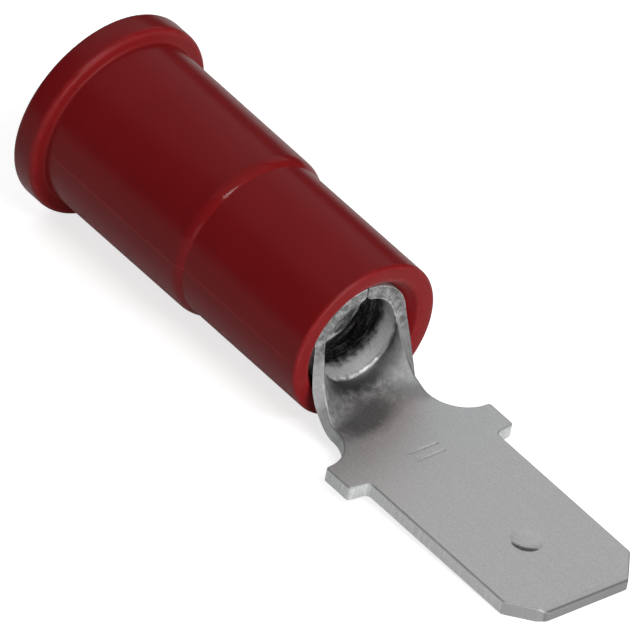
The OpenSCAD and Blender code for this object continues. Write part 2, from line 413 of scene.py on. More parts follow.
def at_seam(edge):
    """Is this edge along the outer side of a wing, where the barrel's seam will be?"""
    return all(abs(abs(vert.co.y) - wing_edge) < NEAR for vert in edge.verts)


seam_corners = [edge for edge in rim_of_side(1) if at_seam(edge)]
round_off(blank, seam_corners, SEAM_ROUND, segments=2, loop_slide=True)
other_edges = [edge for edge in rim_of_side(1) if not at_seam(edge)]
round_off(blank, other_edges, ROLL_OVER, segments=3, loop_slide=True)
round_off(blank, rim_of_side(-1), BURR_ROUND, segments=2, loop_slide=True)
bmesh.ops.remove_doubles(blank, verts=blank.verts, dist=NEAR / 10)
bmesh.ops.recalc_face_normals(blank, faces=blank.faces)
print(f"blank with thickness: {len(blank.faces)} faces")

# %% [markdown]
# The material has to tell the torn cut edges and the rounded corners from the flat plate. While the
# blank is still flat, the direction of a face says which it is, so both are noted now, as face
# attributes that stay with the faces through the bend.

# %% Note which faces are cut edges and which are rounded
FLAT = 0.999
cut_layer = blank.faces.layers.float.new("cut")
worn_layer = blank.faces.layers.float.new("worn")
for face in blank.faces:
    upright = abs(face.normal.z)
    face[cut_layer] = 1.0 if upright < 1 - FLAT else 0.0
    face[worn_layer] = 1.0 if 1 - FLAT <= upright < FLAT else 0.0
print("cut faces:", sum(1 for face in blank.faces if face[cut_layer]))

# %% [markdown]
# ## Latch dimple and stamped bars
#
# The tab has a small round dimple that a latch in the receptacle drops into, and two plain bars near
# the ears. Both are pressed into the upper face after blanking. For the dimple, a cell is cut out of
# the large face, its border gets as many points as a round needs, and inset after inset is set onto a
# smaller circle and sunk to its depth.

# %% Write the helpers that cut a cell out of the sheet
def face_at(x, y):
    """The face of the sheet's upper side that holds that place."""
    place = Vector((x, y, sheet_t / 2))
    for face in blank.faces:
        level = face.normal.z > FLAT and abs(face.calc_center_median().z - place.z) < NEAR
        if level and bmesh.geometry.intersect_face_point(face, place):
            return face
    raise ValueError(f"no upper face at {x}, {y}")


def cut_cell(x, y, half_x, half_y):
    """Cuts a cell with that centre and half size out of the sheet's upper face, and gives the cell."""
    cuts = [((x - half_x, y, 0), (-1, 0, 0)), ((x + half_x, y, 0), (1, 0, 0)),
            ((x, y - half_y, 0), (0, -1, 0)), ((x, y + half_y, 0), (0, 1, 0))]
    for place, outward in cuts:
        face = face_at(x, y)
        bmesh.ops.bisect_plane(
            blank, geom=[face, *face.edges, *face.verts], dist=NEAR / 10, plane_co=place, plane_no=outward)
        blank.normal_update()
    return face_at(x, y)


print("the upper face near the tip has", len(face_at(tip_x - sheet_t, 0).verts), "corners")

# %% Press the dimple
DIMPLE_FROM_TIP = 2.78 * MM
DIMPLE_X = tip_x - DIMPLE_FROM_TIP
DIMPLE_R = 0.5 * MM
DIMPLE_DEPTH = 0.09 * MM
DIMPLE_LIP = 0.012 * MM
DIMPLE_CELL = 0.7 * MM
DIMPLE_SIDE = 16
DIMPLE_INSET = 0.02 * MM

# The radius of each ring in mm, from the cell inwards.
DIMPLE_RINGS = [0.64, 0.6, 0.57, 0.545, 0.52, 0.495, 0.47, 0.44, 0.4, 0.35, 0.29, 0.22, 0.15, 0.07]

dimple_ball_r = (DIMPLE_R ** 2 + DIMPLE_DEPTH ** 2) / (2 * DIMPLE_DEPTH)


def dimple_sink(r):
    """How deep the dimple is at radius r, with its lip rounded."""
    ball = math.sqrt(dimple_ball_r ** 2 - r ** 2) - dimple_ball_r + DIMPLE_DEPTH
    return (ball + math.sqrt(ball ** 2 + DIMPLE_LIP ** 2)) / 2


cell = cut_cell(DIMPLE_X, 0, DIMPLE_CELL, DIMPLE_CELL)
bmesh.ops.subdivide_edges(blank, edges=cell.edges[:], cuts=DIMPLE_SIDE - 1)
step = math.pi / 2 / DIMPLE_SIDE


def place_round(vert):
    """The vertex's angle round the dimple."""
    return (math.atan2(vert.co.y, vert.co.x - DIMPLE_X) + step / 4) % (2 * math.pi)


for r in DIMPLE_RINGS:
    bmesh.ops.inset_individual(blank, faces=[cell], thickness=DIMPLE_INSET, use_even_offset=True)
    for i, vert in enumerate(sorted(cell.verts, key=place_round)):
        vert.co.x = DIMPLE_X + r * MM * math.cos(i * step)
        vert.co.y = r * MM * math.sin(i * step)
        vert.co.z = sheet_t / 2 - dimple_sink(r * MM)
print(f"the dimple is {DIMPLE_DEPTH / MM:.2f} mm deep, with {len(cell.verts)} points in each ring")

# %% [markdown]
# A bar needs less: one inset makes its sloping wall, its floor is moved down, and its border is rounded
# a little, as a stamp leaves it.

# %% Stamp two plain bars
BAR_LENGTH = 1.1 * MM
BAR_WIDTH = 0.13 * MM
BAR_DEPTH = 0.035 * MM
BAR_SLOPE = 0.055 * MM
BAR_EDGE_ROUND = 0.012 * MM
BAR_PLACES = [15.12 * MM, 15.47 * MM]

for x in BAR_PLACES:
    bar = cut_cell(x, 0, BAR_WIDTH / 2, BAR_LENGTH / 2)
    border = bar.edges[:]
    bmesh.ops.inset_individual(blank, faces=[bar], thickness=BAR_SLOPE, use_even_offset=True)
    bmesh.ops.translate(blank, verts=bar.verts[:], vec=(0, 0, -BAR_DEPTH))
    round_off(blank, border, BAR_EDGE_ROUND, segments=2, loop_slide=True)
print(f"{len(BAR_PLACES)} bars stamped {BAR_DEPTH / MM:.3f} mm deep")

# %% [markdown]
# ## Bending
#
# The forming tools roll the strip into a barrel and let the neck down to the tab's level. Bending is a
# rule that gives each point of the flat sheet its place: how far the sheet is still rolled, how far
# it has stepped down, and how high the point lies in the thickness. Working on the flat sheet first
# means that every bevel keeps its size through the bend. The upper face gets one thing more: the
# barrel's mouth flares a little toward its rim, and from that crest it falls steeply to the tab.

# %% Write how the sheet falls from the barrel to the tab
TAB_DROP = -bore_r - tab_top
STEP_RUN = 0.5 * MM
STEP_START = 0.05
FLARE = 0.16 * MM
FLARE_LENGTH = 0.85 * MM
FLARE_CURVE = 1.35
FLARE_FLOOR = 1.5 * MM
FLARE_SIDE = 1.8 * MM
CREST_ROUND = 0.02 * MM
FLOOR_FALL = 0.05 * MM
SIDE_FALL = 0.24 * MM
SIDE_START = 0.8 * MM
SIDE_RUN = 1.2 * MM
WALL_SHARE = 0.4
SLOPE_RUN = 1.1 * MM


def ease(share):
    """A value that goes from 0 to 1, flat at both ends."""
    share = min(1.0, max(0.0, share))
    return share * share * (3 - 2 * share)


def settle(share):
    """A value that sets off steeply just after 0 and settles level at 1: the step of the lower face."""
    started = (share + math.sqrt(share * share + STEP_START * STEP_START)) / 2
    return math.sin(math.pi / 2 * min(1.0, started))


def left_to_fall(along, across):
    """1 before the crest at the rim, then the share of the fall to the tab that is still to come."""
    length = FLOOR_FALL + (SIDE_FALL - FLOOR_FALL) * ease((abs(across) - SIDE_START) / SIDE_RUN)
    past_crest = max(0.0, along)
    wall = math.exp((CREST_ROUND - math.hypot(past_crest, CREST_ROUND)) / length)
    run_out = (1 - min(1.0, past_crest / SLOPE_RUN)) ** 2
    return WALL_SHARE * wall + (1 - WALL_SHARE) * run_out


def flare(along, across):
    """How far the barrel's inner face has opened toward its mouth; it opens less toward the seam."""
    opening = FLARE * max(0.0, 1 + min(0.0, along) / FLARE_LENGTH) ** FLARE_CURVE
    return opening * left_to_fall(along, across) * (1 - ease((abs(across) - FLARE_FLOOR) / FLARE_SIDE))


print(f"the tab lies {TAB_DROP / MM:.2f} mm lower than the barrel's bottom")

# %% [markdown]
# The gripping grooves and the tip's bevel are pressed into the flat sheet just before it is bent. The
# edges between a flat and a round are marked sharp there too, so that the shading of a round doesn't
# smear over the flat beside it.

# %% Press the grooves and the tip, and bend the blank
SOFT = math.radians(6)
GROOVE_DEPTH = 0.06 * MM
TIP_BEVEL_LENGTH = 0.24 * MM
TIP_BEVEL_HEIGHT = 0.09 * MM


def bent(point):
    """Where a point of the flat sheet lies once the sheet is formed."""
    along = point.x - rim_x
    rolled = 1 - ease(along / NECK_LENGTH)
    upper = min(1.0, max(0.0, point.z / sheet_t + 0.5))
    height = point.z - upper * flare(along, point.y)
    fallen = upper * (1 - left_to_fall(along, point.y)) + (1 - upper) * settle(along / STEP_RUN)
    down = TAB_DROP * fallen
    y, lift = point.y, 0.0
    if rolled > 0:
        radius = middle_r / rolled
        angle = point.y / radius
        y = (radius - height) * math.sin(angle)
        lift = (radius - height) * (1 - math.cos(angle))
    return Vector((point.x, y, -middle_r - down + height + lift))


blank.normal_update()
for edge in blank.edges:
    flats = [abs(face.normal.z) > FLAT or abs(face.normal.z) < 1 - FLAT for face in edge.link_faces]
    if len(flats) == 2 and flats[0] != flats[1] and edge.calc_face_angle() > SOFT:
        edge.smooth = False
for vert in blank.verts:
    in_groove = any(abs(vert.co.x - x + GROOVE_WIDTH / 2) < NEAR for x in grooves)
    if in_groove and vert.co.z > sheet_t / 2 - NEAR:
        vert.co.z -= GROOVE_DEPTH
tip_line = bmesh.ops.bisect_plane(
    blank, geom=blank.verts[:] + blank.edges[:] + blank.faces[:], dist=NEAR / 10,
    plane_co=(tip_x - TIP_BEVEL_LENGTH, 0, 0), plane_no=(1, 0, 0))["geom_cut"]
for edge in tip_line:
    if isinstance(edge, bmesh.types.BMEdge):
        edge.smooth = False
for vert in blank.verts:
    past = max(0.0, vert.co.x - tip_x + TIP_BEVEL_LENGTH) / TIP_BEVEL_LENGTH
    vert.co.z *= 1 - past * TIP_BEVEL_HEIGHT / (sheet_t / 2)
for vert in blank.verts:
    vert.co = bent(vert.co)
terminal_sheet = finish_piece(blank, "terminal_sheet")

# %% [markdown]
# ## Helpers for nodes
#
# A finish is a tree of nodes, and most of its nodes do one of a few things. The first helper places a
# node and fills its inputs. The next ones do a step of arithmetic, fade a value in or out along a
# stretch, and make a noise. With them a finish is short enough to read.

# %% Write the helpers that place nodes
def place(tree, kind, inputs=None, **settings):
    """Adds a node, sets its options, and fills its inputs with values or with other nodes' sockets."""
    node = tree.nodes.new(kind)
    for key, value in settings.items():
        setattr(node, key, value)
    for key, value in (inputs or {}).items():
        if isinstance(value, bpy.types.NodeSocket):
            tree.links.new(value, node.inputs[key])
        else:
            node.inputs[key].default_value = value
    return node


def reckon(tree, operation, *values, **settings):
    """One step of arithmetic on values."""
    inputs = dict(enumerate(values))
    return place(tree, "ShaderNodeMath", inputs, operation=operation, **settings).outputs["Value"]


def fade(tree, value, stretch, before=0.0, after=1.0, soft=False):
    """Goes from before to after while the value runs along the stretch, easing in and out if soft."""
    return place(tree, "ShaderNodeMapRange", {
        "Value": value, "From Min": stretch[0], "From Max": stretch[1], "To Min": before, "To Max": after},
        interpolation_type="SMOOTHSTEP" if soft else "LINEAR").outputs["Result"]


def noise(tree, vector, scale, detail, roughness=0.5):
    """A noise around 0.5, with about that many blobs in a unit of the vector."""
    return place(tree, "ShaderNodeTexNoise", {
        "Vector": vector, "Scale": scale, "Detail": detail, "Roughness": roughness}).outputs["Fac"]


print("helpers that place nodes: place, reckon, fade and noise")

# %% [markdown]
# ## Two effects that both finishes share
#
# Both materials have a fine grain, and both are rubbed in patches where a corner sticks out. Each
# effect is a node group, so it is built once and placed with its own values. The groups put out only
# values: the shaders stay in the materials.

# %% Build the shared node groups
CLOUDS_PER_MM = 0.8
PATCHES_PER_MM = 3.0
PATCH_EDGE = (0.35, 0.65)


def new_group(name, inputs, outputs):
    """An empty shader node group with those sockets, and its inner ends."""
    group = bpy.data.node_groups.new(name, "ShaderNodeTree")
    for socket_name, kind in inputs.items():
        group.interface.new_socket(socket_name, in_out="INPUT", socket_type=kind)
    for socket_name in outputs:
        group.interface.new_socket(socket_name, in_out="OUTPUT", socket_type="NodeSocketFloat")
    return group, group.nodes.new("NodeGroupInput").outputs, group.nodes.new("NodeGroupOutput").inputs


fine_grain, group_in, group_out = new_group(
    "fine_grain", {"Vector": "NodeSocketVector", "Grains per mm": "NodeSocketFloat"}, ["Grain", "Cloud"])
grain = noise(fine_grain, group_in["Vector"], group_in["Grains per mm"], detail=3.0, roughness=0.6)
cloud = noise(fine_grain, group_in["Vector"], CLOUDS_PER_MM, detail=2.0)
fine_grain.links.new(grain, group_out["Grain"])
fine_grain.links.new(cloud, group_out["Cloud"])

rubbed_corner, group_in, group_out = new_group(
    "rubbed_corner", {"Corner": "NodeSocketFloat", "Vector": "NodeSocketVector"}, ["Rubbed"])
patches = noise(rubbed_corner, group_in["Vector"], PATCHES_PER_MM, detail=4.0)
broken = fade(rubbed_corner, patches, PATCH_EDGE)
rubbed_corner.links.new(reckon(rubbed_corner, "MULTIPLY", group_in["Corner"], broken), group_out["Rubbed"])
print("node groups:", [group.name for group in bpy.data.node_groups])


def shared_effects(tree, mm, grains_per_mm):
    """Places both groups, and gives the grain, the cloud, the corner mask and its rubbed patches."""
    grains = {"Vector": mm, "Grains per mm": grains_per_mm}
    effect = place(tree, "ShaderNodeGroup", grains, node_tree=fine_grain)
    corner = place(tree, "ShaderNodeAttribute", attribute_name="worn").outputs["Fac"]
    rub = place(tree, "ShaderNodeGroup", {"Corner": corner, "Vector": mm}, node_tree=rubbed_corner)
    return effect.outputs["Grain"], effect.outputs["Cloud"], corner, rub.outputs["Rubbed"]


# %% [markdown]
# ## Coordinates and mixes
#
# Both materials read Object coordinates, turned into millimetres, so that each place in a finish is a
# place on the part. A mask is a value between 0 and 1, and a Mix node uses it to lay one colour or one
# value over another.

# %% Write the helpers that measure
PER_MM = 1 / MM


def in_mm(tree, stretch=(1, 1, 1)):
    """Object coordinates in millimetres, squeezed along an axis where stretch is over 1."""
    coords = place(tree, "ShaderNodeTexCoord").outputs["Object"]
    scale = [PER_MM * value for value in stretch]
    return place(tree, "ShaderNodeMapping", {"Vector": coords, "Scale": scale}).outputs["Vector"]


def between(tree, share, low, high):
    """Spreads a 0 to 1 value over low to high."""
    return fade(tree, share, (0.0, 1.0), low, high)


def measure(tree, operation, *vectors):
    """One number from vectors, such as a length, a distance or a dot product."""
    inputs = dict(enumerate(vectors))
    return place(tree, "ShaderNodeVectorMath", inputs, operation=operation).outputs["Value"]


def distance_to(tree, value, level):
    """How far the value is from that level, to either side."""
    return reckon(tree, "ABSOLUTE", reckon(tree, "SUBTRACT", value, level))


print("Object coordinates are multiplied by", round(PER_MM))


# %% Write the helpers that mix
def mix_values(tree, share, first, second):
    """Mixes two plain values by a 0 to 1 value."""
    inputs = {"Factor": share, "A": first, "B": second}
    return place(tree, "ShaderNodeMix", inputs, data_type="FLOAT").outputs["Result"]


# A Mix node has an A, a B and a Result for each type of data. These are the places of its colours.
COLOUR_A, COLOUR_B, COLOUR_RESULT = 6, 7, 2


def mix_colours(tree, share, first, second, blend="MIX"):
    """Mixes two colours by a 0 to 1 value."""
    inputs = {"Factor": share, COLOUR_A: first, COLOUR_B: second}
    node = place(tree, "ShaderNodeMix", inputs, data_type="RGBA", blend_type=blend)
    return node.outputs[COLOUR_RESULT]


def new_material(name, inputs=None):
    """A material, its tree, and its Principled shader with those inputs, joined to the output."""
    material = bpy.data.materials.new(name)
    material.use_nodes = True
    tree = material.node_tree
    tree.nodes.clear()
    shader = place(tree, "ShaderNodeBsdfPrincipled", inputs)
    place(tree, "ShaderNodeOutputMaterial", {"Surface": shader.outputs["BSDF"]})
    return material, tree, shader


print("helpers that mix: mix_values, mix_colours and new_material")

# %% [markdown]
# ## The red moulding
#
# The sleeve is moulded in a dark red plastic. A slow cloud varies the red, and the corners that stick
# out are rubbed slightly paler. The two halves of the mould meet at half the sleeve's height and leave
# a faint pale line along each flank. On one side the gap between the mouth and the barrel is painted
# nearly black, as painted shade where the barrel shelters the mouth's wall. These are all masks that
# mix one red into another.

# %% Mix the red
RED = (0.222, 0.0098, 0.0115, 1)
RED_DEEP = (0.187, 0.0078, 0.0095, 1)
RED_RUBBED = (0.3, 0.019, 0.022, 1)
RED_MOUTH_SHADE = (0.04, 0.003, 0.0035, 1)
RED_IOR = 1.5
RED_SPECULAR = 0.13
RED_GRAINS_PER_MM = 9.0
RED_RUB = 0.35
PARTING_HALF = 0.08
PARTING_MIDDLE = 6.4
PARTING_ENDS = (5.2, 5.4)
PARTING_SHARE = 0.45
MOUTH_WALL = (2.0, 2.08)
MOUTH_START = (10.0, 10.5)
MOUTH_SIDE = (-1.3, -0.9)

red_moulding, tree, shader = new_material(
    "red_moulding", {"IOR": RED_IOR, "Specular IOR Level": RED_SPECULAR})
mm = in_mm(tree)
grain, cloud, corner, rubbed = shared_effects(tree, mm, RED_GRAINS_PER_MM)
places = place(tree, "ShaderNodeSeparateXYZ", {"Vector": mm}).outputs
reds = mix_colours(tree, cloud, RED_DEEP, RED)
parting = fade(tree, reckon(tree, "ABSOLUTE", places["Z"]), (0.0, PARTING_HALF), 1.0, 0.0, soft=True)
on_body = fade(tree, distance_to(tree, places["X"], PARTING_MIDDLE), PARTING_ENDS, PARTING_SHARE, 0.0)
parting = reckon(tree, "MULTIPLY", parting, on_body)
pale = reckon(tree, "MAXIMUM", between(tree, rubbed, 0.0, RED_RUB), parting)
reds = mix_colours(tree, pale, reds, RED_RUBBED)
# Painted shade: on one side, the mouth's wall beside the barrel is painted nearly black.
crosswise = place(
    tree, "ShaderNodeVectorMath", {0: mm, 1: (0, 1, 1)}, operation="MULTIPLY").outputs["Vector"]
on_wall = fade(tree, measure(tree, "LENGTH", crosswise), MOUTH_WALL, 1.0, 0.0)
mouth_shade = reckon(tree, "MULTIPLY", on_wall, fade(tree, places["X"], MOUTH_START))
mouth_shade = reckon(tree, "MULTIPLY", mouth_shade, fade(tree, places["Y"], MOUTH_SIDE, 1.0, 0.0))
tree.links.new(mix_colours(tree, mouth_shade, reds, RED_MOUTH_SHADE), shader.inputs["Base Color"])
print("red moulding's colour:", len(tree.nodes), "nodes")

# %% [markdown]
# The gloss is satin: the Principled shader turns the silhouette pale by itself, and its roughness
# follows the grain of the mould between two near values. The mould was polished at the step, which
# gives the sharp glint there, and it is duller in the sheltered corner at the flange's root. One bump
# carries the grain, and a second lays the parting line over it.

# %% Give the red its gloss and bump
SATIN = (0.19, 0.29)
POLISHED = 0.12
POLISHED_BEHIND_STEP = 0.16
POLISHED_HALF = (0.14, 0.22)
DULL = 0.42
ROOT_X = 0.94
ROOT_HALF = (0.06, 0.12)
RED_BUMP = 0.06
PARTING_BUMP = 0.6
BUMP_HEIGHT = 0.02 * MM

at_root = fade(tree, distance_to(tree, places["X"], ROOT_X), ROOT_HALF, 1.0, 0.0)
polished_x = STEP_X / MM - POLISHED_BEHIND_STEP
at_step = fade(tree, distance_to(tree, places["X"], polished_x), POLISHED_HALF, 1.0, 0.0)
gloss = mix_values(tree, at_root, between(tree, grain, *SATIN), DULL)
tree.links.new(mix_values(tree, at_step, gloss, POLISHED), shader.inputs["Roughness"])
grain_bump = place(tree, "ShaderNodeBump", {"Height": grain, "Strength": RED_BUMP, "Distance": BUMP_HEIGHT})
bump = place(tree, "ShaderNodeBump", {
    "Height": parting, "Strength": PARTING_BUMP, "Distance": BUMP_HEIGHT,
    "Normal": grain_bump.outputs["Normal"]})
tree.links.new(bump.outputs["Normal"], shader.inputs["Normal"])
sleeve_moulding.data.materials.append(red_moulding)
print("red moulding:", len(tree.nodes), "nodes")

# %% [markdown]
# ## The tin plate
#
# The sheet carries a matt tin plate: a light grey metal with a very fine grain, and faint lines left by
# rolling the sheet. The cut edges have upright scores of their own, and the face attribute noted on the
# blank says which faces those are. The rolled-over corners are painted darker, as painted shade for the
# dark reflection that lines them, and where they are rubbed that painted shade is lifted a little. The
# plate's tones are built up in layers, from the even plate to the marks of single tools and to painted
# light and shade, and each layer is a mask that mixes in one grey.

# %% Lay the even plate
def grey(tone):
    """A neutral colour of that tone."""
    return (tone, tone, tone, 1)


TIN = grey(0.86)
TIN_DEEP = grey(0.64)
TIN_CORNER_SHADE = grey(0.42)
TIN_GRAINS_PER_MM = 16.0
ROLLING_STRETCH = (1.0, 30.0, 30.0)
ROLLING_RANGE = (0.42, 0.58)
SCORE_STRETCH = (14.0, 14.0, 0.8)
SPECKLE = (0.7, 1.3)
CORNER_SHADE_SHARE = 0.75
CORNER_RUB = 0.25
BRUISE_EDGE = (0.4, 0.6)

tin_plate, tree, shader = new_material("tin_plate")
mm = in_mm(tree)
grain, cloud, corner, rubbed = shared_effects(tree, mm, TIN_GRAINS_PER_MM)
cut = place(tree, "ShaderNodeAttribute", attribute_name="cut").outputs["Fac"]
places = place(tree, "ShaderNodeSeparateXYZ", {"Vector": mm}).outputs
along, sideways = places["X"], places["Y"]
rolling = noise(tree, in_mm(tree, ROLLING_STRETCH), scale=0.6, detail=3.0)
scores = noise(tree, in_mm(tree, SCORE_STRETCH), scale=1.5, detail=3.0)
lines = mix_values(tree, cut, between(tree, rolling, *ROLLING_RANGE), scores)
speckle = fade(tree, reckon(tree, "ADD", grain, lines), SPECKLE)
greys = mix_colours(tree, speckle, TIN_DEEP, TIN)
# Painted shade: the rolled-over corners are painted darker, less where they are rubbed.
corner_shade = reckon(
    tree, "SUBTRACT", between(tree, corner, 0.0, CORNER_SHADE_SHARE), between(tree, rubbed, 0.0, CORNER_RUB),
    use_clamp=True)
greys = mix_colours(tree, corner_shade, greys, TIN_CORNER_SHADE)
blotches = noise(tree, mm, scale=4.5, detail=6.0, roughness=0.7)
bruised = fade(tree, blotches, BRUISE_EDGE)
print("even plate:", len(tree.nodes), "nodes")

# %% [markdown]
# The forming tools have worked the neck hard, so its plate is duller and blotched. Its +Y side is
# painted much darker still, as painted shade against the bright reflection there. The cut edges are
# bruised there too. At the other end, a dark line along the tip is painted shade, for the dark
# reflection on its rolled edge, and the cut at the tip's end and corners is painted darker as shade.
# Places are in millimetres from the wire entry, and a noise shifts them so that no mark ends in a
# straight line.

# %% Work the neck, the cut edges and the tip
TIN_WORKED = grey(0.56)
TIN_BRUISED = grey(0.26)
TIN_LOBE_SHADE = grey(0.18)
TIN_TIP_SHADE = grey(0.33)
TIN_CUT = grey(0.66)
TIN_CUT_TIP_SHADE = grey(0.36)
TIN_CUT_WORKED = grey(0.5)
TIN_CUT_BRUISED = grey(0.34)
WORKED_SHARE = 0.8
CLOUD_SHIFT = 0.8
WORKED_END = (13.0, 14.2)
LOBE_SIDE = (0.3, 1.2)
TIP_CORNERS = (21.5, 21.62)
TIP_CORNER_SHARE = 0.65
TIP_LINE = (22.44, 22.48)
CUT_WORKED_END = (12.5, 13.5)
PAST_RIM = (11.8, 11.9)
PAST_RIM_SHARE = 0.6


def uneven(tree, value, wobble, amount):
    """Shifts a value by a noise, so that what fades along it gets an uneven edge."""
    return reckon(tree, "MULTIPLY_ADD", wobble, amount, value)


along_cloud = uneven(tree, along, cloud, CLOUD_SHIFT)
worked = fade(tree, along_cloud, WORKED_END, 1.0, 0.0, soft=True)
worked_tone = mix_colours(tree, bruised, TIN_BRUISED, TIN_WORKED)
greys = mix_colours(tree, between(tree, worked, 0.0, WORKED_SHARE), greys, worked_tone)
# Painted shade: the neck's +Y side is painted darker against its bright reflection.
lobe_shade = reckon(tree, "MULTIPLY", worked, fade(tree, sideways, LOBE_SIDE, soft=True))
greys = mix_colours(tree, between(tree, lobe_shade, 0.0, WORKED_SHARE), greys, TIN_LOBE_SHADE)
# Painted shade: a dark line along the tip, and a darker cut at the tip's end and corners.
at_corners = fade(tree, along, TIP_CORNERS, 0.0, TIP_CORNER_SHARE)
at_end = fade(tree, along, TIP_LINE)
greys = mix_colours(tree, at_end, greys, TIN_TIP_SHADE)
at_tip = reckon(tree, "MULTIPLY_ADD", at_end, 1 - TIP_CORNER_SHARE, at_corners)
cut_tone = mix_colours(tree, at_tip, mix_colours(tree, speckle, TIN, TIN_CUT), TIN_CUT_TIP_SHADE)
cut_worked = fade(tree, along_cloud, CUT_WORKED_END, 1.0, 0.0)
cut_bruises = mix_colours(tree, bruised, TIN_CUT_BRUISED, TIN_CUT_WORKED)
cut_tone = mix_colours(tree, cut_worked, cut_tone, cut_bruises)
past_rim = reckon(tree, "MULTIPLY", fade(tree, along, PAST_RIM, 0.0, PAST_RIM_SHARE), cut_worked)
cut_tone = mix_colours(tree, past_rim, cut_tone, TIN_BRUISED)
greys = mix_colours(tree, cut, greys, cut_tone)
print("worked neck and cut edges:", len(tree.nodes), "nodes")

# %% [markdown]
# Two marks are painted on the neck itself. A dark oval where the neck meets the tab is a painted
# reflection, of the dark surroundings that the bend there mirrors: the oval is made by a Mapping node,
# which turns and scales the coordinates so that a plain distance gives the oval, and the blotches make
# its rim ragged. A darker band of painted shade follows the foot of the barrel's crest.

# %% Paint the dark reflection and the crease's shade on the neck
TIN_DARK_REFLECTION = grey(0.2)
TIN_DARK_REFLECTION_SPECK = grey(0.4)
TIN_CREASE_SHADE = grey(0.1)
REFLECTION_PLACE = (13.3, -0.65, -1.7)
REFLECTION_SIZE = (0.65, 1.25, 0.9)
REFLECTION_TURN = math.radians(12)
REFLECTION_RIM = (0.85, 1.7)
RAGGED = 0.8
BLOTCH_SHIFT = 0.5
CREASE_START = (11.83, 11.88)
CREASE_END = (12.35, 12.8)
CREASE_SIDE = (0.6, 1.5)
CREASE_SHARE = 0.95

# Painted reflection: a dark oval where the neck meets the tab.
in_reflection = place(tree, "ShaderNodeMapping", {
    "Vector": mm, "Location": REFLECTION_PLACE, "Rotation": (0, 0, REFLECTION_TURN), "Scale": REFLECTION_SIZE},
    vector_type="TEXTURE").outputs["Vector"]
from_reflection = uneven(tree, measure(tree, "LENGTH", in_reflection), blotches, RAGGED)
dark_reflection = fade(tree, from_reflection, REFLECTION_RIM, 1.0, 0.0, soft=True)
greys = mix_colours(tree, dark_reflection, greys, mix_colours(tree, speckle, TIN_DARK_REFLECTION, TIN_DARK_REFLECTION_SPECK))
blotched = uneven(tree, along, blotches, BLOTCH_SHIFT)
# Painted shade: a dark band at the foot of the barrel's crest.
crease_shade = fade(tree, blotched, CREASE_END, 1.0, 0.0, soft=True)
crease_shade = reckon(tree, "MULTIPLY", fade(tree, along, CREASE_START), crease_shade)
across = reckon(tree, "ABSOLUTE", sideways)
crease_shade = reckon(tree, "MULTIPLY", crease_shade, fade(tree, across, CREASE_SIDE, CREASE_SHARE, 0.0, soft=True))
greys = mix_colours(tree, crease_shade, greys, TIN_CREASE_SHADE)
print("smudge and crease:", len(tree.nodes), "nodes")

# %% [markdown]
# The barrel's bore was scored by its forming pin. It is painted nearly black, as painted shade, up to
# a frosted lip just behind the crest that is painted paler, as a painted highlight for the light that
# reaches into the mouth. The scores are a noise squeezed along the part, so that they run round the
# bore. Deep inside, between dark rings, they are painted pale, as painted highlights for light that
# comes in through the wire entry. The crest itself is a thin bright line, which blotches of painted
# shade break up.

# %% Score the bore, paint its shade, and frost and paint its lip
TIN_LIP_HIGHLIGHT = grey(0.76)
TIN_BORE_SHADE = grey(0.04)
TIN_STREAK_HIGHLIGHT = grey(0.97)
SCORED_STRETCH = (7.0, 1.3, 1.3)
BORE_FRONT = (11.35, 11.75)
BORE_REAR = (10.4, 10.46)
BEFORE_CREST = (11.82, 11.88)
LIP_SPECKLE = 0.55
BORE_SHADE_SHARE = 0.9
SCORED = (0.5, 0.62)
SCORED_END = (11.6, 11.8)
SCORED_SHARE = 0.4
STREAK_HIGHLIGHT_RANGE = (0.46, 0.54)
DEEP_SHADE_SHARE = 0.75
CREST_X = 11.86
CREST_HALF = (0.05, 0.14)
CREST_SHARE = 0.7

# Painted shade: the bore is painted nearly black, here and deeper inside below.
in_front = fade(tree, along, BORE_REAR)
in_bore = reckon(tree, "MULTIPLY", fade(tree, blotched, BORE_FRONT, 1.0, 0.0, soft=True), in_front)
# Painted highlight: the frosted lip behind the crest is painted paler.
before_crest = fade(tree, along, BEFORE_CREST, 1.0, 0.0)
lip = reckon(tree, "MULTIPLY", before_crest, between(tree, cut, 1.0, 0.0))
lip = reckon(tree, "SUBTRACT", lip, in_bore, use_clamp=True)
lip_highlight = reckon(tree, "MULTIPLY", lip, between(tree, speckle, LIP_SPECKLE, 1.0))
greys = mix_colours(tree, lip_highlight, greys, TIN_LIP_HIGHLIGHT)
greys = mix_colours(tree, between(tree, in_bore, 0.0, BORE_SHADE_SHARE), greys, TIN_BORE_SHADE)
streaks = noise(tree, in_mm(tree, SCORED_STRETCH), scale=1.3, detail=4.0, roughness=0.7)
scored = reckon(tree, "MULTIPLY", fade(tree, streaks, SCORED), fade(tree, blotched, SCORED_END, 1.0, 0.0))
bore_tone = mix_colours(tree, in_bore, TIN_LIP_HIGHLIGHT, TIN_DEEP)
greys = mix_colours(tree, between(tree, scored, 0.0, SCORED_SHARE), greys, bore_tone)
deep = between(tree, in_front, 1.0, 0.0)
# Painted highlight: pale streaks deep in the bore, over its painted shade.
streak_highlight = reckon(tree, "MULTIPLY", fade(tree, streaks, STREAK_HIGHLIGHT_RANGE), deep)
greys = mix_colours(tree, between(tree, deep, 0.0, DEEP_SHADE_SHARE), greys, TIN_BORE_SHADE)
greys = mix_colours(tree, streak_highlight, greys, TIN_STREAK_HIGHLIGHT)
# Painted shade: blotches that break up the crest's bright line.
on_crest = fade(tree, distance_to(tree, along, CREST_X), CREST_HALF, CREST_SHARE, 0.0)
crest_shade = reckon(tree, "MULTIPLY", on_crest, between(tree, bruised, 1.0, 0.0))
greys = mix_colours(tree, crest_shade, greys, TIN_CREASE_SHADE)
print("bore and lip:", len(tree.nodes), "nodes")

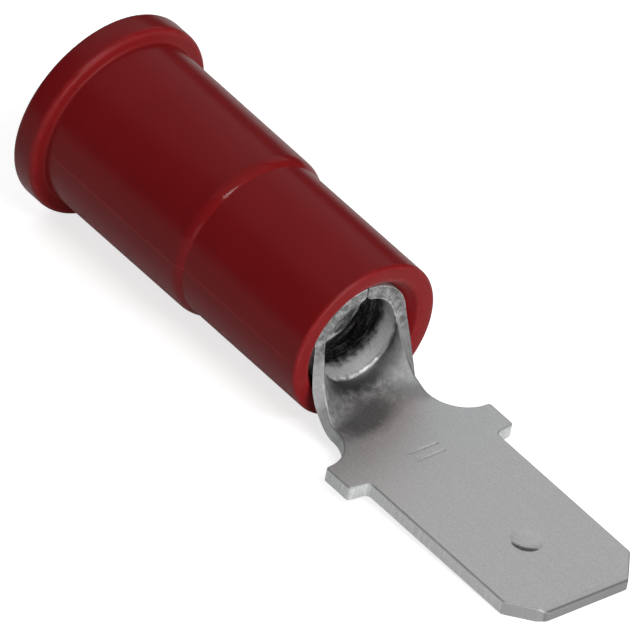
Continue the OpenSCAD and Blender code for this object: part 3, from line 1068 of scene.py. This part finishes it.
# %% [markdown]
# A metal mirrors what is near it, and the tab would look pink beside the red sleeve. A very slightly
# cool tone, multiplied in near the sleeve only, brings it back to the grey of the real plate. Where the
# lip and the deep streaks carry their painted highlights, the plate is also less metallic, so they stay
# pale in shade.

# %% Join the tones to the shader
TIN_COOL = (0.94, 1.0, 1.0, 1)
COOL_END = (13.4, 17.0)
COOL_START = (12.4, 13.8)
COOL_SHARE = 0.84
FROST = 0.6

near_sleeve = fade(tree, along, COOL_END, 1.0, 0.0, soft=True)
past_neck = fade(tree, along, COOL_START, 0.0, COOL_SHARE, soft=True)
greys = mix_colours(tree, reckon(tree, "MULTIPLY", near_sleeve, past_neck), greys, TIN_COOL, "MULTIPLY")
tree.links.new(greys, shader.inputs["Base Color"])
frosted = reckon(tree, "MAXIMUM", lip_highlight, streak_highlight)
tree.links.new(between(tree, frosted, 1.0, 1.0 - FROST), shader.inputs["Metallic"])
print("tin plate's tones:", len(tree.nodes), "nodes")

# %% [markdown]
# The roughness follows the same places: smoother in the bore, matt on the tab, rougher on the worked
# neck, and roughest on the torn cut edges. Only the near wall of the dimple is smooth, because the
# punch slid down it. A dot product with the direction in which that wall leans finds it.

# %% Give the tin its roughness and bump
BORE_ROUGHNESS = 0.28
LIP_ROUGHNESS = 0.5
MATT = 0.46
NECK_ROUGHNESS = 0.55
CUT_ROUGHNESS = 0.68
PUNCHED = 0.2
MATT_START = (11.8, 12.2)
NECK_END = (12.9, 13.6)
PUNCH_LEAN = (0.55, -0.835, 0.0)
PUNCH_EDGE = (0.48, 0.54)
PUNCH_WALL = (0.05, 0.25)
GRAIN_ROUGHNESS = 0.08
LINE_HEIGHT = 0.35
TIN_BUMP = 0.4
TIN_BUMP_HEIGHT = 0.006 * MM

matt = fade(tree, along, MATT_START, BORE_ROUGHNESS, MATT, soft=True)
matt = mix_values(tree, lip, matt, LIP_ROUGHNESS)
neck = reckon(tree, "SUBTRACT", fade(tree, along, NECK_END, 1.0, 0.0), before_crest, use_clamp=True)
matt = mix_values(tree, neck, matt, NECK_ROUGHNESS)
matt = mix_values(tree, reckon(tree, "MAXIMUM", cut, corner), matt, CUT_ROUGHNESS)
from_dimple = measure(tree, "DISTANCE", mm, Vector((DIMPLE_X, 0, tab_top)) / MM)
leaning = measure(tree, "DOT_PRODUCT", mm, PUNCH_LEAN)
wall = [DIMPLE_X / MM * PUNCH_LEAN[0] + reach for reach in PUNCH_WALL]
punched = reckon(
    tree, "MULTIPLY", fade(tree, from_dimple, PUNCH_EDGE, 1.0, 0.0), fade(tree, leaning, wall, soft=True))
matt = mix_values(tree, punched, matt, PUNCHED)
rough = reckon(tree, "ADD", matt, between(tree, grain, -GRAIN_ROUGHNESS, GRAIN_ROUGHNESS))
tree.links.new(rough, shader.inputs["Roughness"])
height = reckon(tree, "MULTIPLY_ADD", lines, LINE_HEIGHT, grain)
bump = place(tree, "ShaderNodeBump", {"Height": height, "Strength": TIN_BUMP, "Distance": TIN_BUMP_HEIGHT})
tree.links.new(bump.outputs["Normal"], shader.inputs["Normal"])
terminal_sheet.data.materials.append(tin_plate)
print("tin plate:", len(tree.nodes), "nodes")

# %% [markdown]
# ## The floor
#
# The part lies on a plain white table. It touches it with the flange and the tab's tip, so the floor
# runs through those two, slightly tilted in the part's own frame. The floor glows a little for the
# camera alone, so that it looks white and still keeps the part's shadow. To the metal and the plastic
# it is only faintly bright.

# %% Make the floor
FLOOR_SIZE = 0.6
REAR_REST = Vector((0.72, 0, -3.21)) * MM
FRONT_REST = Vector((22.31, 0, -2.16)) * MM
FLOOR_GAP = 0.01 * MM
FLOOR_WHITE = grey(0.8)
FLOOR_ROUGHNESS = 0.9
FLOOR_GLOW = 0.74
FLOOR_SHINE = 0.09

floor_mesh = bmesh.new()
bmesh.ops.create_grid(floor_mesh, x_segments=1, y_segments=1, size=FLOOR_SIZE / 2)
slope = (FRONT_REST - REAR_REST).normalized()
floor_up = Vector((0, -1, 0)).cross(slope).normalized()
floor_turn = Matrix((slope, floor_up.cross(slope), floor_up)).transposed().to_4x4()
floor_place = Matrix.Translation((REAR_REST + FRONT_REST) / 2 - floor_up * FLOOR_GAP) @ floor_turn
bmesh.ops.transform(floor_mesh, matrix=floor_place, verts=floor_mesh.verts)
mesh = bpy.data.meshes.new("floor")
floor_mesh.to_mesh(mesh)
floor_mesh.free()
floor = add_object("floor", mesh)

table_white, tree, shader = new_material("table_white", {
    "Base Color": FLOOR_WHITE, "Roughness": FLOOR_ROUGHNESS, "Specular IOR Level": 0.0,
    "Emission Color": grey(1)})
path = place(tree, "ShaderNodeLightPath").outputs
shine = reckon(tree, "MULTIPLY", path["Is Glossy Ray"], FLOOR_SHINE)
glow = reckon(tree, "MULTIPLY_ADD", path["Is Camera Ray"], FLOOR_GLOW, shine)
tree.links.new(glow, shader.inputs["Emission Strength"])
mesh.materials.append(table_white)
print(f"floor tilted {math.degrees(math.atan2(slope.z, slope.x)):.2f} degrees in the part's frame")

# %% [markdown]
# ## Lamps and world
#
# The lamps are soft rectangles round the part. Two low ones in front light the sleeve's front face and
# the cut edges of the tab. A narrow one, high in front, is there for one thing: its mirror image is the
# glint on the step and the bright line along the crest. The others fill the flanks and the top. What
# lies low behind the part stays dark, and that gives the metal its dark bands. Each lamp is set by the
# brightness of its face, so that changing its size doesn't change how bright its mirror image is.

# %% Place the lamps
LAMP_DISTANCE = 0.3

# Each lamp's azimuth and elevation, the sizes of its face, and the brightness of its face.
lamps = {
    "front": ((58, 9), (0.42, 0.12), 1.05),
    "nose": ((94, 9), (0.2, 0.1), 7.2),
    "glint": ((78, 53.5), (0.17, 0.035), 15.0),
    "right": ((98, 32), (0.26, 0.15), 1.05),
    "back": ((216, 36), (0.3, 0.17), 0.56),
    "left_back": ((268, 38), (0.17, 0.17), 0.55),
    "overhead": ((200, 88), (0.42, 0.42), 0.42)}

for name, (angles, size, radiance) in lamps.items():
    data = bpy.data.lights.new(name, "AREA")
    data.shape = "RECTANGLE"
    data.size, data.size_y = size
    data.energy = radiance * math.pi * size[0] * size[1]
    lamp = add_object(name, data)
    toward = from_angles(*(math.radians(angle) for angle in angles))
    facing = toward.to_track_quat("Z", "Y").to_matrix().to_4x4()
    lamp.matrix_world = Matrix.Translation(AIM + toward * LAMP_DISTANCE) @ facing
print("lamps:", list(lamps))

# %% [markdown]
# The world is almost black to the part, so that the lamps alone shape it, and white to the camera. The
# Standard view shows each colour as it is written.

# %% Set the world and the view
WORLD_GREY = 0.04

world = bpy.data.worlds.new("world")
bpy.context.scene.world = world
world.use_nodes = True
tree = world.node_tree
tree.nodes.clear()
dim = place(tree, "ShaderNodeBackground", {"Color": grey(1), "Strength": WORLD_GREY}).outputs["Background"]
white = place(tree, "ShaderNodeBackground", {"Color": grey(1)}).outputs["Background"]
seen = place(tree, "ShaderNodeLightPath").outputs["Is Camera Ray"]
choose = place(tree, "ShaderNodeMixShader", {0: seen, 1: dim, 2: white}).outputs["Shader"]
place(tree, "ShaderNodeOutputWorld", {"Surface": choose})
bpy.context.scene.view_settings.view_transform = "Standard"
print("the world is white to the camera, and", WORLD_GREY, "to all else")

# %% [markdown]
# ## Binding
#
# Each piece rides on the part's one body and stands in for its node of the construction, which is
# hidden.

# %% Bind the pieces to the frame
for piece, cad_node in ((sleeve_moulding, "insulator"), (terminal_sheet, "terminal")):
    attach(piece, "root")
    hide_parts(cad_node)
    print(piece.name, "stands in for", cad_node)
